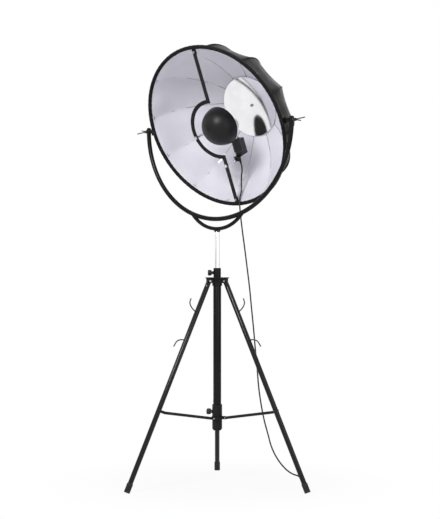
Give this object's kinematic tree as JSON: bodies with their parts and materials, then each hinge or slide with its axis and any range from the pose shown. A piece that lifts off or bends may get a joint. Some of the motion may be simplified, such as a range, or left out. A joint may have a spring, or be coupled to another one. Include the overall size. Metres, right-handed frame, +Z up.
{
  "type": "floor lamp",
  "caption": "Tripod floor lamp with a large sewn fabric reflector shade that tilts in a half-round fork on a telescopic mast; folding legs and spreader.",
  "frame": {"origin": "on the floor under the middle of the whole lamp as posed, without its cord", "axes": "+Z up along the column, +Y away from the viewer, +X to the viewer's right"},
  "size_m": [0.7166, 0.6955, 1.7384],
  "materials": {
    "stand_paint": "satin black powder coat",
    "leg_paint": "gloss black lacquer",
    "chrome": "polished chrome",
    "plated": "zinc plated",
    "black_steel": "blackened steel",
    "nylon": "natural nylon",
    "rubber": "moulded rubber",
    "knob_plastic": "moulded black plastic",
    "cover_fabric": "black coated nylon",
    "lining_fabric": "white nylon",
    "rib_steel": "spring steel",
    "dish_mirror": "mirror polish",
    "bowl_paint": "satin black",
    "holder_plastic": "black thermoplastic",
    "lamp_metal": "screw cap",
    "lamp_glass": "pearl glass",
    "cord_sheath": "black flexible sheath"
  },
  "bodies": {
    "stand": {"column": "stand_paint", "column_plug": "stand_paint", "hub": "stand_paint", "hub_pins": "plated", "cord_lift": "cord_sheath"},
    "leg_left": {"leg_left_tube": "leg_paint", "leg_left_tongue": "leg_paint", "leg_left_foot": "rubber", "leg_left_hooks": "black_steel"},
    "leg_right": {"leg_right_tube": "leg_paint", "leg_right_tongue": "leg_paint", "leg_right_foot": "rubber", "leg_right_hooks": "black_steel", "cord_grommet": "rubber", "cord_leg": "cord_sheath"},
    "leg_rear": {"leg_rear_tube": "leg_paint", "leg_rear_tongue": "leg_paint", "leg_rear_foot": "rubber", "leg_rear_hooks": "black_steel"},
    "collar": {"collar": "stand_paint", "collar_pins": "plated"},
    "arm_left": {"arm_left": "stand_paint"},
    "arm_right": {"arm_right": "stand_paint"},
    "arm_rear": {"arm_rear": "stand_paint"},
    "collar_knob": {"collar_knob": "knob_plastic", "collar_screw": "plated"},
    "mast_knob": {"mast_knob": "knob_plastic", "mast_screw": "plated"},
    "mast": {"mast": "chrome", "mast_glide": "nylon", "cord_turn": "cord_sheath"},
    "yoke": {"yoke_tube": "stand_paint", "yoke_brace": "stand_paint", "yoke_spigot": "stand_paint", "cord_tilt": "cord_sheath"},
    "wing_left": {"wing_screw_left": "black_steel"},
    "wing_right": {"wing_screw_right": "black_steel"},
    "head": {"rim_hoop": "stand_paint", "rim_brackets": "stand_paint", "shade_cover": "cover_fabric", "shade_lining": "lining_fabric", "ribs": "rib_steel", "rib_hub": "rib_steel", "hub_cap": "stand_paint", "dish": "dish_mirror", "hub_bolt": "plated", "cross_bar": "stand_paint", "bar_clips": "stand_paint", "head_fasteners": "plated", "standoff_rods": "chrome", "bowl": "bowl_paint", "bowl_bracket": "stand_paint", "holder_bracket": "stand_paint", "lamp_holder": "holder_plastic", "terminal_box": "holder_plastic", "lamp_cap": "lamp_metal", "lamp_glass": "lamp_glass", "strain_relief": "rubber", "cord_head": "cord_sheath"}
  },
  "joints": [
    {"name": "mast_lift", "type": "slide", "parent": "stand", "child": "mast", "axis": [0, 0, 1], "range_m": [-0.12, 0.25], "deforming": ["cord_lift"]},
    {"name": "yoke_turn", "type": "hinge", "parent": "mast", "child": "yoke", "pos_m": [0, -0.064, 1.008], "axis": [0, 0, 1], "range_deg": [-170, 170], "deforming": ["cord_turn"]},
    {"name": "head_tilt", "type": "hinge", "parent": "yoke", "child": "head", "pos_m": [0, -0.064, 1.429], "axis": [0.766, -0.6428, 0], "range_deg": [-90, 65], "deforming": ["cord_tilt"]},
    {"name": "wing_left_turn", "type": "hinge", "parent": "yoke", "child": "wing_left", "pos_m": [0, -0.064, 1.429], "axis": [0.766, -0.6428, 0], "continuous": true},
    {"name": "wing_right_turn", "type": "hinge", "parent": "yoke", "child": "wing_right", "pos_m": [0, -0.064, 1.429], "axis": [0.766, -0.6428, 0], "continuous": true},
    {"name": "mast_knob_turn", "type": "hinge", "parent": "stand", "child": "mast_knob", "pos_m": [0, -0.064, 0.845], "axis": [-1, 0, 0], "continuous": true},
    {"name": "collar_slide", "type": "slide", "parent": "stand", "child": "collar", "axis": [0, 0, 1], "range_m": [0, 0.2313]},
    {"name": "collar_knob_turn", "type": "hinge", "parent": "collar", "child": "collar_knob", "pos_m": [0, -0.064, 0.293], "axis": [-0.9659, 0.2588, 0], "continuous": true},
    {"name": "leg_left_fold", "type": "hinge", "parent": "stand", "child": "leg_left", "pos_m": [-0.03204, -0.0825, 0.812], "axis": [0.5, -0.866, 0], "range_deg": [0, 24.2]},
    {"name": "arm_left_swing", "type": "hinge", "parent": "collar", "child": "arm_left", "pos_m": [-0.02425, -0.078, 0.268], "axis": [0.5, -0.866, 0], "range_deg": [0, 97.84]},
    {"name": "leg_right_fold", "type": "hinge", "parent": "stand", "child": "leg_right", "pos_m": [0.03204, -0.0825, 0.812], "axis": [0.5, 0.866, 0], "range_deg": [0, 24.2], "deforming": ["cord_leg"]},
    {"name": "arm_right_swing", "type": "hinge", "parent": "collar", "child": "arm_right", "pos_m": [0.02425, -0.078, 0.268], "axis": [0.5, 0.866, 0], "range_deg": [0, 97.84]},
    {"name": "leg_rear_fold", "type": "hinge", "parent": "stand", "child": "leg_rear", "pos_m": [0, -0.027, 0.812], "axis": [-1, 0, 0], "range_deg": [0, 24.2]},
    {"name": "arm_rear_swing", "type": "hinge", "parent": "collar", "child": "arm_rear", "pos_m": [0, -0.036, 0.268], "axis": [-1, 0, 0], "range_deg": [0, 97.84]}
  ],
  "couplings": [
    {"joint": "leg_left_fold", "follows": "collar_slide", "rad_per_m": 1.826},
    {"joint": "arm_left_swing", "follows": "collar_slide", "rad_per_m": 7.382},
    {"joint": "leg_right_fold", "follows": "collar_slide", "rad_per_m": 1.826},
    {"joint": "arm_right_swing", "follows": "collar_slide", "rad_per_m": 7.382},
    {"joint": "leg_rear_fold", "follows": "collar_slide", "rad_per_m": 1.826},
    {"joint": "arm_rear_swing", "follows": "collar_slide", "rad_per_m": 7.382}
  ]
}
